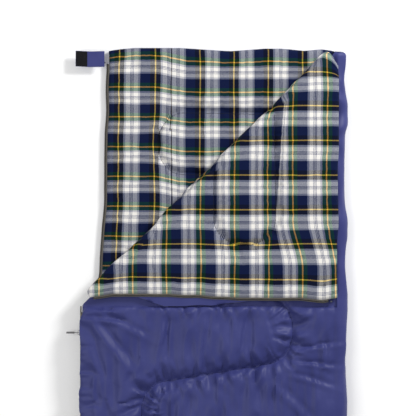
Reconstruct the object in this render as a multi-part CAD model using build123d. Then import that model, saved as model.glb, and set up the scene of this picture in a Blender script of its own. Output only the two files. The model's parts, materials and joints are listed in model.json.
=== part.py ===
from build123d import *
import os

# A rectangular sleeping bag: one quilt folded in half along its right side and zipped down its left
# side and across its foot.  It lies flat on its underside.  +Y points to the head, +X to the
# folded side and +Z up.  The origin is the centre of the underside.  Millimetres.

# Driving dimensions
BAG_WIDTH = 840.0            # folded side to the zip's coil
BAG_LENGTH = 1900.0          # head hem to the foot zip
CLOTH = 1.0                  # shell and lining, drawn thick enough to be solids
BATTING = 20.0               # loft of the filling in one quilt
SLEEPING_GAP = 12.0          # empty space between the two quilts
FOLD_CLEARANCE = 1.2         # hinge line to the shell on either side of the fold
HINGE_BACKSET = 1.0          # quilt edges stop this far from the hinge line
CORNER_R = 22.0              # rounded cloth corners
POINT_CLEAR = 4.0            # folded side's head end to the closed flap's point

# Zip
TAPE_T = 1.0
TAPE_OUT = 12.0              # tape showing beyond a sewn edge
EDGE_TO_TAPE = 6.0           # side edges of the quilts to the upright tape
COIL_W = 3.6                 # coil across the tape's plane
COIL_H = 2.0                 # one coil, away from its own tape's edge
COIL_GAP = 1.6               # left between the two coils for the slider's wedge
SIDE_FOOT_GAP = 12.0         # side chain starts this far from the foot chain
SIDE_CHAIN_END_Y = 130.0     # the closed stretch ends where the top quilt is folded back
WEB_END_Y = 110.0            # the tape's web ends where the base quilt's edge draws in
WEB_CLEAR = 2.0              # web cut back from the upright tape
FOOT_CORNER_GAP = 16.0       # foot chain starts this far from the zipped side
OPEN_TAPE_END_Y = 905.0      # head end of the open tape on the base quilt
FLAP_CHAIN_START_X = -372.0
STOP_LEN = 5.0
STOP_T = 5.0
STOP_LAP = 1.0               # stops overlap tape and coil edges by this much

# Slider and pull
SLIDER_Y = 46.0              # where the slider stands at rest
SLIDER_LEN = 20.0
SLIDER_TALL = 14.0
PLATE_T = 1.4
PLATE_CLEAR = 0.7            # plate to coil
WEDGE_T = 0.9
WEDGE_LEN = 7.0
WEDGE_SETBACK = 1.0          # wedge behind the plates' ends
PLATE_CORNER_R = 2.8
BRIDGE_LEN = 12.0
BRIDGE_W = 3.0
BRIDGE_T = 1.0
BRIDGE_SPACE = 3.8           # under the bridge, where the pull's bar turns
PULL_BAR_R = 1.0
PULL_ARM_W = 2.0
PULL_ARM_T = 1.6
PULL_ARM_GAP = 4.0           # between the two arms, over the bridge
PULL_NECK = 13.0             # length of the wire frame before the grip
GRIP_LEN = 27.0
GRIP_W = 9.0
GRIP_T = 6.0
GRIP_EDGE_R = 2.4

# Closure tab
TAB_LEN = 92.0
TAB_W = 50.0
TAB_T = 1.5
PATCH_LEN = 36.0
PATCH_T = 2.0
LOOP_T = 1.0
TAB_SEAM_Y = 918.0           # middle of the tab along the edge
TAB_SEAM_X = -344.0          # end of the strap at its seam
TAB_LIFT = 3.0               # strap over the base quilt's lining level
PATCH_MARGIN = 1.0           # hook patch inside the strap's border

# Loop patch on the flap, measured in from the flap's free corner
LOOP_LEN = 48.0
LOOP_FROM_HEM = 14.0
LOOP_FROM_ZIP = 8.0

# Derived levels
QUILT = BATTING + 2 * CLOTH
TOP_Z = QUILT + SLEEPING_GAP
HINGE_Z = TOP_Z + QUILT + FOLD_CLEARANCE
FLAP_Z = HINGE_Z + FOLD_CLEARANCE
SIDE_R = (TOP_Z + QUILT) / 2
GAP_R = SLEEPING_GAP / 2
HALF_W = BAG_WIDTH / 2
HALF_L = BAG_LENGTH / 2
SIDE_X = HALF_W - SIDE_R                 # where both quilts turn over the folded side
TAPE_X = -HALF_W                         # middle of the upright tape on the zipped side
ZIP_EDGE_X = TAPE_X + EDGE_TO_TAPE       # zipped edge of both quilts
FOOT_Y = -HALF_L + EDGE_TO_TAPE
FOOT_TAPE_Y = -HALF_L
CHAIN_Z = SIDE_R                         # the chain runs at half height
SEAM_BASE_Z = QUILT / 2
SEAM_TOP_Z = TOP_Z + QUILT / 2
FOLD_OFFSET = 550.0                      # the fold lies on y = x + FOLD_OFFSET
SIDE_HEAD_Y = SIDE_X + FOLD_OFFSET - POINT_CLEAR     # the turn stops short of the closed flap's point
FLAP_ZIP_Y = 160.0                       # zip edge of the folded flap
FLAP_HEM_X = 398.0                       # head hem of the folded flap
FLAP_SEAM_Z = FLAP_Z + QUILT / 2
LINING_JOIN_X = -132.0                   # join seam of the base quilt's two lining panels

# The head end of the base quilt draws in where its zip is open
HEAD_RIGHT_Y = 948.0
HEAD_LEFT = (-330.0, 942.0)
DRAWN_MIDDLE = (-337.0, 500.0)
DRAWN_LOW = (-358.0, 190.0)
DRAW_START_Y = 115.0
BASE_OUTLINE = [
    (SIDE_X, FOOT_Y),
    (SIDE_X, HEAD_RIGHT_Y),
    HEAD_LEFT,
    DRAWN_MIDDLE,
    DRAWN_LOW,
    (ZIP_EDGE_X, DRAW_START_Y),
    (ZIP_EDGE_X, FOOT_Y),
]
HEAD_LEFT_INDEX = 2


def solid_box(x0, x1, y0, y1, z0, z1):
    """Box between two corners."""
    middle = ((x0 + x1) / 2, (y0 + y1) / 2, (z0 + z1) / 2)
    return Pos(*middle) * Box(x1 - x0, y1 - y0, z1 - z0)


def outline_face(points, rounded):
    """Flat face from an outline, with the listed corners rounded."""
    face = make_face(Polyline(*points, close=True))
    corners = [v for v in face.vertices() if any(
        abs(v.X - points[i][0]) < 0.01 and abs(v.Y - points[i][1]) < 0.01 for i in rounded)]
    return fillet(corners, CORNER_R)


def slab(face, z0, z1):
    """Upright prism over a flat face."""
    return Pos(0, 0, z0) * extrude(face, amount=z1 - z0)


def quilt(face, z0, shell_below):
    """Shell, filling and lining of one quilt: two shallow casings that meet at mid height."""
    inner = offset(face, amount=-CLOTH)
    middle = z0 + QUILT / 2
    filling = slab(inner, z0 + CLOTH, z0 + QUILT - CLOTH)
    lower = slab(face, z0, middle) - filling
    upper = slab(face, middle, z0 + QUILT) - filling
    return (lower, filling, upper) if shell_below else (upper, filling, lower)


def side_turn(inner_r, outer_r):
    """Half ring along the folded side, from the base quilt round to the top quilt."""
    ring = Circle(outer_r) - Circle(inner_r) - Pos(-outer_r, 0) * Rectangle(2 * outer_r, 2 * outer_r)
    length = SIDE_HEAD_Y - FOOT_Y
    plane = Plane(origin=(SIDE_X, FOOT_Y, SIDE_R), x_dir=(1, 0, 0), z_dir=(0, 1, 0))
    return extrude(plane * ring, amount=length)


def strip_along(points, width, z0, z1):
    """Flat strip of one width lying outside an open edge, given from foot to head."""
    outer = [(x - width, y) for x, y in points]
    return slab(make_face(Polyline(*points, *reversed(outer), close=True)), z0, z1)


nodes = {}

# Base quilt
base_face = outline_face(BASE_OUTLINE, rounded=(HEAD_LEFT_INDEX,))
nodes["base_shell"], nodes["base_batting"], base_lining = quilt(base_face, 0.0, shell_below=True)
left_half = solid_box(-BAG_WIDTH, LINING_JOIN_X, -BAG_LENGTH, BAG_LENGTH, -QUILT, 2 * QUILT)
nodes["base_lining_left"] = base_lining & left_half
nodes["base_lining_right"] = base_lining - left_half

# Turn over the folded side
nodes["side_shell"] = side_turn(SIDE_R - CLOTH, SIDE_R)
nodes["side_batting"] = side_turn(GAP_R + CLOTH, SIDE_R - CLOTH)
nodes["side_lining"] = side_turn(GAP_R, GAP_R + CLOTH)

# Top quilt, up to the diagonal fold
back = HINGE_BACKSET * 2 ** 0.5
top_points = [
    (SIDE_X, FOOT_Y),
    (SIDE_X, SIDE_X + FOLD_OFFSET - back),
    (ZIP_EDGE_X, ZIP_EDGE_X + FOLD_OFFSET - back),
    (ZIP_EDGE_X, FOOT_Y),
]
top_face = make_face(Polyline(*top_points, close=True))
nodes["top_shell"], nodes["top_batting"], nodes["top_lining"] = quilt(top_face, TOP_Z, shell_below=False)

# Flap: the top quilt's zipped head corner, folded over with its lining up
flap_points = [
    (FLAP_ZIP_Y - FOLD_OFFSET + back, FLAP_ZIP_Y),
    (FLAP_HEM_X, FLAP_ZIP_Y),
    (FLAP_HEM_X, FLAP_HEM_X + FOLD_OFFSET - back),
]
flap_face = outline_face(flap_points, rounded=(1,))
nodes["flap_shell"], nodes["flap_batting"], nodes["flap_lining"] = quilt(flap_face, FLAP_Z, shell_below=True)

# Zip tapes and coils on the zipped side, closed below the slider.  Each tape leaves the
# quilt's edge seam and turns upright towards the other one.
side_y0 = FOOT_TAPE_Y + SIDE_FOOT_GAP
side_y1 = SIDE_CHAIN_END_Y
coil_base_z1 = CHAIN_Z - COIL_GAP / 2
coil_base_z0 = coil_base_z1 - COIL_H
tape_x0 = TAPE_X - TAPE_T / 2
tape_x1 = TAPE_X + TAPE_T / 2


def mirrored(shape):
    """The same piece on the top quilt, mirrored about the chain's level."""
    return shape.mirror(Plane(origin=(0, 0, CHAIN_Z), z_dir=(0, 0, 1)))


base_side_tape = (
    solid_box(tape_x0, ZIP_EDGE_X, side_y0, side_y1, SEAM_BASE_Z - TAPE_T / 2, SEAM_BASE_Z + TAPE_T / 2)
    + solid_box(tape_x0, tape_x1, side_y0, side_y1, SEAM_BASE_Z - TAPE_T / 2, coil_base_z0)
)
base_side_tape -= solid_box(TAPE_X + WEB_CLEAR, ZIP_EDGE_X, WEB_END_Y, side_y1, 0, QUILT)
base_side_coil = solid_box(
    TAPE_X - COIL_W / 2, TAPE_X + COIL_W / 2, side_y0, side_y1, coil_base_z0, coil_base_z1)
nodes["base_zip_tape_side"] = base_side_tape
nodes["top_zip_tape_side"] = mirrored(base_side_tape)
nodes["base_zip_coil_side"] = base_side_coil
nodes["top_zip_coil_side"] = mirrored(base_side_coil)

# The same across the foot
foot_x0 = -HALF_W + FOOT_CORNER_GAP
foot_x1 = SIDE_X
foot_tape = (
    solid_box(foot_x0, foot_x1, FOOT_TAPE_Y, FOOT_Y, SEAM_BASE_Z - TAPE_T / 2, SEAM_BASE_Z + TAPE_T / 2)
    + solid_box(foot_x0, foot_x1, FOOT_TAPE_Y, FOOT_TAPE_Y + TAPE_T, SEAM_BASE_Z - TAPE_T / 2, coil_base_z0)
)
foot_coil = solid_box(
    foot_x0, foot_x1, FOOT_TAPE_Y, FOOT_TAPE_Y + COIL_W, coil_base_z0, coil_base_z1)
nodes["base_zip_tape_foot"] = foot_tape
nodes["top_zip_tape_foot"] = mirrored(foot_tape)
nodes["base_zip_coil_foot"] = foot_coil
nodes["top_zip_coil_foot"] = mirrored(foot_coil)

# Open tape and coil beside the base quilt's head end, lying flat
edge_head, edge_mid, edge_low = HEAD_LEFT, DRAWN_MIDDLE, DRAWN_LOW
edge_lean = (edge_head[0] - edge_mid[0]) / (edge_head[1] - edge_mid[1])
tape_end = (edge_mid[0] + edge_lean * (OPEN_TAPE_END_Y - edge_mid[1]), OPEN_TAPE_END_Y)
open_edge = [edge_low, edge_mid, tape_end]
nodes["base_zip_tape_head"] = strip_along(
    open_edge, TAPE_OUT, SEAM_BASE_Z - TAPE_T / 2, SEAM_BASE_Z + TAPE_T / 2)
coil_edge = [(x - TAPE_OUT, y) for x, y in open_edge]
nodes["base_zip_coil_head"] = strip_along(
    coil_edge, COIL_H, SEAM_BASE_Z - COIL_W / 2, SEAM_BASE_Z + COIL_W / 2)

# Tape and coil on the flap's zip edge
flap_zip_x0 = FLAP_CHAIN_START_X
flap_zip_x1 = FLAP_HEM_X - CORNER_R - COIL_H
nodes["flap_zip_tape"] = solid_box(
    flap_zip_x0, flap_zip_x1, FLAP_ZIP_Y - TAPE_OUT, FLAP_ZIP_Y,
    FLAP_SEAM_Z - TAPE_T / 2, FLAP_SEAM_Z + TAPE_T / 2)
nodes["flap_zip_coil"] = solid_box(
    flap_zip_x0, flap_zip_x1, FLAP_ZIP_Y - TAPE_OUT - COIL_H, FLAP_ZIP_Y - TAPE_OUT,
    FLAP_SEAM_Z - COIL_W / 2, FLAP_SEAM_Z + COIL_W / 2)

# Stops at the ends of the coils
end_x, end_y = coil_edge[-1]
nodes["base_zip_stop"] = solid_box(
    end_x - COIL_H - STOP_LAP, end_x + STOP_LAP, end_y, end_y + STOP_LEN,
    SEAM_BASE_Z - STOP_T / 2, SEAM_BASE_Z + STOP_T / 2)
nodes["flap_zip_stop"] = solid_box(
    flap_zip_x1, flap_zip_x1 + STOP_LEN,
    FLAP_ZIP_Y - TAPE_OUT - COIL_H - STOP_LAP, FLAP_ZIP_Y - TAPE_OUT + STOP_LAP,
    FLAP_SEAM_Z - STOP_T / 2, FLAP_SEAM_Z + STOP_T / 2)
nodes["foot_zip_stop"] = solid_box(
    foot_x1, foot_x1 + STOP_LEN, FOOT_TAPE_Y, FOOT_TAPE_Y + COIL_W, coil_base_z0, 2 * CHAIN_Z - coil_base_z0)

# Slider: two plates either side of the chain, joined by the wedge between the coils
outer_x1 = TAPE_X - COIL_W / 2 - PLATE_CLEAR
outer_x0 = outer_x1 - PLATE_T
inner_x0 = TAPE_X + COIL_W / 2 + PLATE_CLEAR
inner_x1 = inner_x0 + PLATE_T


def slider_plate(x0, x1):
    """Plate of the slider with its upright edges rounded."""
    plate = solid_box(
        x0, x1, SLIDER_Y - SLIDER_LEN / 2, SLIDER_Y + SLIDER_LEN / 2,
        CHAIN_Z - SLIDER_TALL / 2, CHAIN_Z + SLIDER_TALL / 2)
    return fillet(plate.edges().filter_by(Axis.X), PLATE_CORNER_R)


wedge_y1 = SLIDER_Y + SLIDER_LEN / 2 - WEDGE_SETBACK
wedge = solid_box(
    outer_x1, inner_x0, wedge_y1 - WEDGE_LEN, wedge_y1, CHAIN_Z - WEDGE_T / 2, CHAIN_Z + WEDGE_T / 2)
nodes["slider_body"] = slider_plate(outer_x0, outer_x1) + slider_plate(inner_x0, inner_x1) + wedge

bridge_block = solid_box(
    outer_x0 - BRIDGE_SPACE - BRIDGE_T, outer_x0, SLIDER_Y - BRIDGE_LEN / 2, SLIDER_Y + BRIDGE_LEN / 2,
    CHAIN_Z - BRIDGE_W / 2, CHAIN_Z + BRIDGE_W / 2)
bridge_space = solid_box(
    outer_x0 - BRIDGE_SPACE, outer_x0, SLIDER_Y - BRIDGE_LEN / 2 + BRIDGE_T,
    SLIDER_Y + BRIDGE_LEN / 2 - BRIDGE_T, CHAIN_Z - BRIDGE_W / 2, CHAIN_Z + BRIDGE_W / 2)
nodes["slider_bridge"] = bridge_block - bridge_space

# Pull: a wire frame whose bar turns under the bridge, and a moulded grip
bar_x = outer_x0 - BRIDGE_SPACE / 2
arm_z = PULL_ARM_GAP / 2 + PULL_ARM_W / 2
bar = Pos(bar_x, SLIDER_Y, CHAIN_Z) * Cylinder(PULL_BAR_R, PULL_ARM_GAP + 2 * PULL_ARM_W)
arms = [
    solid_box(bar_x - PULL_NECK, bar_x, SLIDER_Y - PULL_ARM_T / 2, SLIDER_Y + PULL_ARM_T / 2,
              CHAIN_Z + side * arm_z - PULL_ARM_W / 2, CHAIN_Z + side * arm_z + PULL_ARM_W / 2)
    for side in (-1, 1)
]
nodes["pull_frame"] = bar + arms[0] + arms[1]
grip = solid_box(
    bar_x - PULL_NECK - GRIP_LEN, bar_x - PULL_NECK, SLIDER_Y - GRIP_T / 2, SLIDER_Y + GRIP_T / 2,
    CHAIN_Z - GRIP_W / 2, CHAIN_Z + GRIP_W / 2)
nodes["pull_grip"] = fillet(grip.edges(), GRIP_EDGE_R)

# Closure tab at the base quilt's head corner: a strap with a hook patch at its free end
tab_z = QUILT + TAB_LIFT
tab_y0 = TAB_SEAM_Y - TAB_W / 2
tab_y1 = TAB_SEAM_Y + TAB_W / 2
tab_x1 = TAB_SEAM_X
tab_x0 = tab_x1 - TAB_LEN
nodes["tab_strap"] = solid_box(tab_x0, tab_x1, tab_y0, tab_y1, tab_z, tab_z + TAB_T)
nodes["tab_hook_patch"] = solid_box(
    tab_x0 + PATCH_MARGIN, tab_x0 + PATCH_MARGIN + PATCH_LEN,
    tab_y0 + PATCH_MARGIN, tab_y1 - PATCH_MARGIN, tab_z + TAB_T, tab_z + TAB_T + PATCH_T)

# Loop patch that the hook patch fastens to, on the flap's shell near its free corner
loop_x1 = FLAP_HEM_X - LOOP_FROM_HEM
loop_y0 = FLAP_ZIP_Y + LOOP_FROM_ZIP
nodes["flap_loop_patch"] = solid_box(
    loop_x1 - LOOP_LEN, loop_x1, loop_y0, loop_y0 + PATCH_LEN, FLAP_Z - LOOP_T, FLAP_Z)

os.makedirs("parts", exist_ok=True)
for name, shape in nodes.items():
    export_step(shape, f"parts/{name}.step")
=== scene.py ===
"""Looks of a rectangular sleeping bag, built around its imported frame. Metres throughout."""

import json
import logging
import math
from dataclasses import dataclass, field
from enum import Enum
from typing import Callable, Iterable, Sequence

import bmesh
import bpy
import numpy as np
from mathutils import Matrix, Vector

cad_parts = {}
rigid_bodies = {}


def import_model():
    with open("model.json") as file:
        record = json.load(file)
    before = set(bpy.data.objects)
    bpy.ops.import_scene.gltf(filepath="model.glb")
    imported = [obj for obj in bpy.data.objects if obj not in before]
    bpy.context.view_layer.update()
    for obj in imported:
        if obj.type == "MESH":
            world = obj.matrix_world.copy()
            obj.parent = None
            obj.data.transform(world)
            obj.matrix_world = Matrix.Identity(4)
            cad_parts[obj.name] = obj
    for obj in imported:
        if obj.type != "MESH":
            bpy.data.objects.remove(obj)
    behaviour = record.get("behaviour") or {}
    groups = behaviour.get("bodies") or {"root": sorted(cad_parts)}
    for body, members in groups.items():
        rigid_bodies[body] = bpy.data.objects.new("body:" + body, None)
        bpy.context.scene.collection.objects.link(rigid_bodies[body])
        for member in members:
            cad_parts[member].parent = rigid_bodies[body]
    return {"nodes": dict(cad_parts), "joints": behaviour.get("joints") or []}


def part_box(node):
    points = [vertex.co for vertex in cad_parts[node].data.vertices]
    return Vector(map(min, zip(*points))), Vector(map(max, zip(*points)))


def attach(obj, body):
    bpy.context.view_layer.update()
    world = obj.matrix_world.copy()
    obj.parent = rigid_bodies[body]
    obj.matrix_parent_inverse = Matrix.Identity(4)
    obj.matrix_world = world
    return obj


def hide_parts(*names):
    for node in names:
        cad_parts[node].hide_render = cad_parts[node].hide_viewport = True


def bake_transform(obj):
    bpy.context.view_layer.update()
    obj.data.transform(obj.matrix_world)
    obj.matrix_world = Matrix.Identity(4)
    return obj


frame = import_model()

LOG = logging.getLogger("sleeping_bag")
MM = 0.001
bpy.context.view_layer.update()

# Levels and edges, from the frame
BASE_LOW, BASE_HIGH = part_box("base_shell")
TOP_LOW, TOP_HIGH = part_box("top_shell")
FLAP_LOW, FLAP_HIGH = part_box("flap_lining")
SIDE_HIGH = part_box("side_shell")[1]
LINING_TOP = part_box("base_lining_right")[1].z
TOP_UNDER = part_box("top_lining")[0].z
FLAP_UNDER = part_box("flap_shell")[0].z
LOFT = LINING_TOP - BASE_LOW.z
HALF_LOFT = LOFT / 2
LINING_SPARE = (TOP_UNDER - LINING_TOP) / 2     # each lining may swell into half of the gap between them
BASE_MID = BASE_LOW.z + HALF_LOFT
TOP_MID = TOP_UNDER + HALF_LOFT
FLAP_MID = FLAP_UNDER + HALF_LOFT
FOLD_JOINT = next(j for j in frame["joints"] if j["name"] == "flap_fold")
FOLD_POINT = Vector(FOLD_JOINT["pos_m"])
FOLD_OFFSET = FOLD_POINT.y - FOLD_POINT.x      # the fold lies on y = x + FOLD_OFFSET
SIDE_X = TOP_HIGH.x                            # both quilts turn over the folded side here
SIDE_MID_R = (TOP_MID - BASE_MID) / 2
SIDE_MID_Z = (TOP_MID + BASE_MID) / 2
BASE_SWELL_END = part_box("top_zip_tape_side")[1].y + 20 * MM
SIDE_ARC = math.pi * SIDE_HIGH.z / 2           # cloth that the folded side takes
JOIN_SEAM_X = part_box("base_lining_right")[0].x
TAPE_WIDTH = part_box("flap_zip_tape")[1].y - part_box("flap_zip_tape")[0].y

# Grids
BASE_STEP = 6 * MM
TOP_STEP = 5 * MM
FLAP_STEP = 5.5 * MM
FOLD_BACKSET = 1.3 * MM
SEAM_ANGLE = math.radians(60)                 # sheets meet sharply at a seam
SIM_RATIO = 2                                  # simulated grid is this much coarser
RIM_RADIUS = 16 * MM                           # a sewn edge rounds off over this distance
RIM_HELD = 12 * MM                             # the simulation holds the cloth this far in from an edge
HINGE_REACH = 28 * MM                          # beside the fold both shells ease to the hinge line over this
HINGE_GAP = 0.15 * MM                          # and stop this far short of it


# ---------------------------------------------------------------- materials


def linear(hex_colour: str) -> tuple[float, float, float, float]:
    """Turn an sRGB hex colour into linear RGBA.

    Args:
        hex_colour: colour such as "#42477c".
    Returns:
        Linear red, green and blue, and an alpha of 1.
    """
    parts = [int(hex_colour[i:i + 2], 16) / 255 for i in (1, 3, 5)]
    low = [p / 12.92 if p <= 0.04045 else ((p + 0.055) / 1.055) ** 2.4 for p in parts]
    return (low[0], low[1], low[2], 1.0)


def add_node(tree: bpy.types.NodeTree, kind: str, inputs: dict | None = None, **settings) -> bpy.types.Node:
    """Add one node, set its properties and set or link its inputs.

    Args:
        tree: node tree that gets the node.
        kind: Blender's name of the node type.
        inputs: input name or index to a value, or to an output socket to link.
        **settings: properties of the node itself.
    Returns:
        The new node.
    """
    node = tree.nodes.new(kind)
    for name, value in settings.items():
        setattr(node, name, value)
    for key, value in (inputs or {}).items():
        socket = node.inputs[key]
        if isinstance(value, bpy.types.NodeSocket):
            tree.links.new(value, socket)
        else:
            socket.default_value = value
    return node


@dataclass(frozen=True)
class Stripe:
    """One band of a tartan sett: its colour and its width in millimetres."""

    colour: str
    width: float


@dataclass(frozen=True)
class Finish:
    """A surface finish with the values every principled shader starts from."""

    name: str
    colour: str
    roughness: float
    sheen: float = 0.0
    metallic: float = 0.0
    specular: float = 0.5

    def start(self) -> tuple[bpy.types.NodeTree, bpy.types.Node]:
        """Make the material with its principled shader.

        Returns:
            The material's node tree, and the shader.
        """
        material = bpy.data.materials.new(self.name)
        material.use_nodes = True
        tree = material.node_tree
        shader = tree.nodes["Principled BSDF"]
        shader.inputs["Base Color"].default_value = linear(self.colour)
        shader.inputs["Roughness"].default_value = self.roughness
        shader.inputs["Metallic"].default_value = self.metallic
        shader.inputs["Specular IOR Level"].default_value = self.specular
        shader.inputs["Sheen Weight"].default_value = self.sheen
        shader.inputs["Sheen Roughness"].default_value = 0.4
        return tree, shader

    def make(self) -> bpy.types.Material:
        """Make the finished material; each kind of finish has its own."""
        raise NotImplementedError


@dataclass(frozen=True)
class SatinPolyester(Finish):
    """Calendered polyester taffeta: flat filament yarns give a soft satin gloss and a faint weave."""

    name: str = "satin_polyester_shell"
    colour: str = "#40447a"
    # painted shade: the darker blue that soft clouds mix in, standing for satin turned from the light
    shade: str = "#242961"
    roughness: float = 0.5
    sheen: float = 0.08
    specular: float = 0.22
    # real yarns are 0.2 mm apart; the weave is drawn far coarser so that it shows, one ripple every
    # 2 pi times this length
    yarn_mm: float = 1.6
    wave_unit: float = 20.0      # the wave texture's own factor on its scale
    painted_shade_clouds_per_m: float = 9.0    # painted shade and sheen: the blue drifts softly between a lit and a darker shaded tone over about 110 mm
    ripples_per_m: float = 70.0  # handling leaves ripples about 14 mm across

    def make(self) -> bpy.types.Material:
        """Make the shell's material.

        Returns:
            The material.
        """
        tree, shader = self.start()
        place = add_node(tree, "ShaderNodeTexCoord").outputs["UV"]
        # painted shade and sheen: soft noise clouds blend the lit blue with the shaded blue
        cloud = add_node(tree, "ShaderNodeTexNoise", {"Vector": place, "Scale": self.painted_shade_clouds_per_m, "Detail": 3.0})
        mix = add_node(tree, "ShaderNodeMix", {
            0: cloud.outputs["Fac"], 6: linear(self.colour), 7: linear(self.shade)}, data_type="RGBA")
        tree.links.new(mix.outputs[2], shader.inputs["Base Color"])
        yarns, wefts = (add_node(tree, "ShaderNodeTexWave", {
            "Vector": place, "Scale": 1 / (self.yarn_mm * MM) / self.wave_unit, "Distortion": 0.6,
            "Detail": 1.0}, bands_direction=axis) for axis in "XY")
        both = add_node(tree, "ShaderNodeMath", {0: yarns.outputs["Fac"], 1: wefts.outputs["Fac"]})
        ripple = add_node(tree, "ShaderNodeTexNoise", {"Vector": place, "Scale": self.ripples_per_m, "Detail": 4.0})
        height = add_node(tree, "ShaderNodeMath", {0: both.outputs[0], 1: 0.04, 2: ripple.outputs["Fac"]},
                          operation="MULTIPLY_ADD")
        bump = add_node(tree, "ShaderNodeBump", {
            "Strength": 0.35, "Distance": 0.9 * MM, "Height": height.outputs[0]})
        tree.links.new(bump.outputs[0], shader.inputs["Normal"])
        return bpy.data.materials[self.name]


@dataclass(frozen=True)
class TartanFlannel(Finish):
    """Brushed cotton flannel in a yarn-dyed 2/2 twill.

    It is dull, with soft-edged stripes that mix where they cross.
    """

    name: str = "tartan_flannel_lining"
    colour: str = "#8a8c90"
    roughness: float = 0.92
    sheen: float = 0.02
    specular: float = 0.06
    twill_mm: float = 2.4        # real twill lines are 0.9 mm apart, drawn coarser so that they show
    # threads hide one another, so a crossing reads darker than a plain average
    overlap: float = 2.2
    blur_mm: float = 1.6         # brushing blurs each stripe's edge by about this much
    fuzz_per_m: float = 420.0    # in tufts about 2.4 mm across
    nap_per_m: float = 900.0     # raised fibres are about 1.1 mm apart
    warp: tuple[Stripe, ...] = (
        Stripe("#0e1738", 30.4), Stripe("#0b0b11", 14.2), Stripe("#e0b23a", 4.2), Stripe("#0b0b11", 14.2),
        Stripe("#9c9da6", 6.4), Stripe("#e2dfd9", 14.2), Stripe("#2b3158", 1.9), Stripe("#d8d6d0", 2.1),
        Stripe("#2b3158", 1.9), Stripe("#d8d6d0", 2.1), Stripe("#2b3158", 1.9), Stripe("#e2dfd9", 14.2),
        Stripe("#9c9da6", 6.4))
    weft: tuple[Stripe, ...] = (
        Stripe("#0e1738", 27.6), Stripe("#0b3b22", 11.2), Stripe("#e8a53f", 3.6), Stripe("#0b3b22", 11.2),
        Stripe("#8f919e", 5.6), Stripe("#e2dfd9", 10.4), Stripe("#2b3158", 1.8), Stripe("#d8d6d0", 2.0),
        Stripe("#2b3158", 1.8), Stripe("#d8d6d0", 2.0), Stripe("#2b3158", 1.8), Stripe("#e2dfd9", 10.4),
        Stripe("#8f919e", 5.6))

    @staticmethod
    def sett(tree: bpy.types.NodeTree, along: bpy.types.NodeSocket, stripes: Sequence[Stripe]) -> bpy.types.Node:
        """Add a colour ramp that repeats one sett along a coordinate.

        Args:
            tree: material's node tree.
            along: coordinate in metres.
            stripes: bands of the sett in order.
        Returns:
            The colour ramp node.
        """
        period = sum(s.width for s in stripes)
        turn = add_node(tree, "ShaderNodeMath", {0: along, 1: 1 / (period * MM)}, operation="MULTIPLY")
        part = add_node(tree, "ShaderNodeMath", {0: turn.outputs[0]}, operation="FRACT")
        ramp = add_node(tree, "ShaderNodeValToRGB", {"Fac": part.outputs[0]})
        ramp.color_ramp.interpolation = "CONSTANT"
        at = 0.0
        for index, stripe in enumerate(stripes):
            stop = ramp.color_ramp.elements[0] if index == 0 else ramp.color_ramp.elements.new(at)
            stop.position = at
            stop.color = linear(stripe.colour)
            at += stripe.width / period
        ramp.color_ramp.elements.remove(ramp.color_ramp.elements[-1])
        return ramp

    def make(self) -> bpy.types.Material:
        """Make the lining's material.

        Returns:
            The material.
        """
        tree, shader = self.start()
        place = add_node(tree, "ShaderNodeTexCoord").outputs["UV"]
        fuzz = add_node(tree, "ShaderNodeTexNoise", {"Vector": place, "Scale": self.fuzz_per_m, "Detail": 2.0})
        shift = add_node(tree, "ShaderNodeVectorMath", {
            0: fuzz.outputs["Color"], 1: (0.5, 0.5, 0.5)}, operation="SUBTRACT")
        soft = add_node(tree, "ShaderNodeVectorMath", {
            0: shift.outputs[0], 1: (self.blur_mm * MM,) * 3, 2: place}, operation="MULTIPLY_ADD")
        split = add_node(tree, "ShaderNodeSeparateXYZ", {0: soft.outputs[0]})
        warp = self.sett(tree, split.outputs["X"], self.warp)
        # the weft's sett runs from the head towards the foot
        down = add_node(tree, "ShaderNodeMath", {0: split.outputs["Y"], 1: -1.0}, operation="MULTIPLY")
        weft = self.sett(tree, down.outputs[0], self.weft)
        slant = add_node(tree, "ShaderNodeMath", {0: split.outputs["X"], 1: split.outputs["Y"]})
        angle = add_node(tree, "ShaderNodeMath", {
            0: slant.outputs[0], 1: 2 * math.pi / (self.twill_mm * MM)}, operation="MULTIPLY")
        wave = add_node(tree, "ShaderNodeMath", {0: angle.outputs[0]}, operation="SINE")
        share = add_node(tree, "ShaderNodeMath", {0: wave.outputs[0], 1: 0.16, 2: 0.5}, operation="MULTIPLY_ADD")
        threads = [add_node(tree, "ShaderNodeGamma", {"Color": ramp.outputs[0], "Gamma": 1 / self.overlap})
                   for ramp in (warp, weft)]
        mixed = add_node(tree, "ShaderNodeMix", {
            0: share.outputs[0], 6: threads[0].outputs[0], 7: threads[1].outputs[0]}, data_type="RGBA")
        cloth = add_node(tree, "ShaderNodeGamma", {"Color": mixed.outputs[2], "Gamma": self.overlap})
        tree.links.new(cloth.outputs[0], shader.inputs["Base Color"])
        nap = add_node(tree, "ShaderNodeTexNoise", {"Vector": place, "Scale": self.nap_per_m, "Detail": 3.0})
        height = add_node(tree, "ShaderNodeMath", {0: wave.outputs[0], 1: 0.25, 2: nap.outputs["Fac"]},
                          operation="MULTIPLY_ADD")
        bump = add_node(tree, "ShaderNodeBump", {
            "Strength": 0.4, "Distance": 0.5 * MM, "Height": height.outputs[0]})
        tree.links.new(bump.outputs[0], shader.inputs["Normal"])
        return bpy.data.materials[self.name]


class GrainKind(Enum):
    """How the grain of a small part's surface runs."""

    WOVEN = "woven"
    HOOKS = "hooks"
    SPECKLED = "speckled"


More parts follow.
